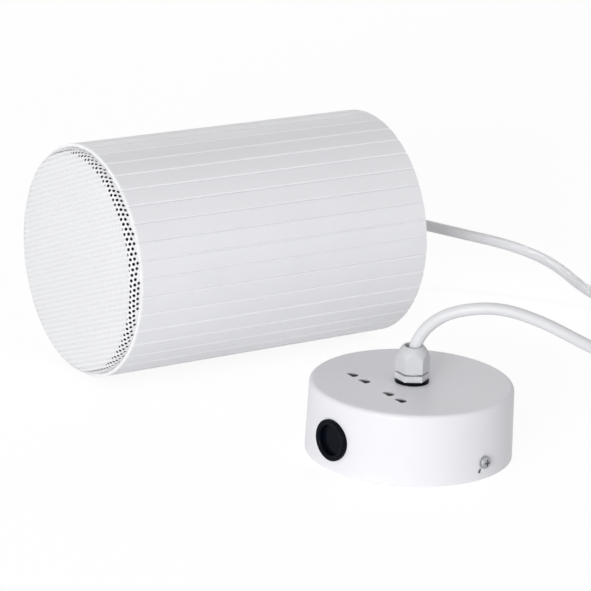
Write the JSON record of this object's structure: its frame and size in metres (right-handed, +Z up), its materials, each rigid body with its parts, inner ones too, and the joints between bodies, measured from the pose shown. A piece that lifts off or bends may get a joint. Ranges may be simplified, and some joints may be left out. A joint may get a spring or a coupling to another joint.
{
  "type": "pendant speaker",
  "caption": "White pendant loudspeaker: grooved tube with a perforated front, hung by a round flex from a drawn ceiling canopy.",
  "frame": {"origin": "on the floor under the middle of the speaker and the canopy together, cord left out", "axes": "+X along the tube's axis from the front grille to the back, +Z up off the floor, so that the canopy stands towards -Y"},
  "size_m": [0.4113, 0.3488, 0.136],
  "materials": {
    "tube_paint": "satin",
    "grille_paint": "satin",
    "canopy_paint": "satin",
    "gland_plastic": "matt",
    "black_rubber": "matt",
    "cord_jacket": "satin",
    "tie_strap": "satin nylon",
    "zinc_screw": "zinc plated",
    "bracket_steel": "zinc plated",
    "acoustic_cloth": "knitted",
    "baffle_board": "black stained fibreboard",
    "basket_paint": "black satin",
    "foam_gasket": "foam",
    "surround_rubber": "satin",
    "cone_paper": "pressed paper",
    "spider_cloth": "resin cloth",
    "coil_copper": "enamelled wire",
    "motor_steel": "zinc plated",
    "magnet_ferrite": "ground ferrite",
    "terminal_board": "laminate",
    "terminal_brass": "tinned",
    "core_steel": "laminated",
    "winding_tape": "taped",
    "lead_plastic": "satin",
    "block_plastic": "matt"
  },
  "bodies": {
    "housing": {"housing_tube": "tube_paint", "front_grille": "grille_paint", "grille_cloth": "acoustic_cloth", "baffle_ring": "baffle_board", "driver_screws": "zinc_screw", "tie_rods": "zinc_screw", "rear_cap": "tube_paint", "driver_basket": "basket_paint", "driver_gasket": "foam_gasket", "surround": "surround_rubber", "spider": "spider_cloth", "top_plate": "motor_steel", "magnet_ring": "magnet_ferrite", "pole_yoke": "motor_steel", "terminal_strip": "terminal_board", "driver_terminals": "terminal_brass", "transformer_core": "core_steel", "transformer_winding": "winding_tape", "transformer_clamp": "bracket_steel", "transformer_screws": "zinc_screw", "speaker_leads": "lead_plastic", "canopy_cup": "canopy_paint", "cable_grommet": "black_rubber", "ceiling_bracket": "bracket_steel", "canopy_side_screws": "zinc_screw", "terminal_block": "block_plastic", "terminal_clamps": "terminal_brass", "cord_coil": "cord_jacket", "cord_tie": "tie_strap", "cord_cores": "lead_plastic", "rear_gland_washer": "black_rubber", "rear_gland_body": "gland_plastic", "rear_gland_seal": "black_rubber", "rear_gland_nut": "gland_plastic", "rear_gland_locknut": "gland_plastic", "canopy_gland_washer": "black_rubber", "canopy_gland_body": "gland_plastic", "canopy_gland_seal": "black_rubber", "canopy_gland_nut": "gland_plastic", "canopy_gland_locknut": "gland_plastic", "cord_speaker_run": "cord_jacket", "cord_canopy_run": "cord_jacket"},
    "cone_assembly": {"cone": "cone_paper", "dust_cap": "cone_paper", "voice_coil": "coil_copper"}
  },
  "joints": [
    {"name": "cone_travel", "type": "slide", "parent": "housing", "child": "cone_assembly", "axis": [1, 0, 0], "range_m": [-0.002, 0.002], "stiffness_N_per_m": 1500, "deforming": ["surround", "spider"]}
  ]
}
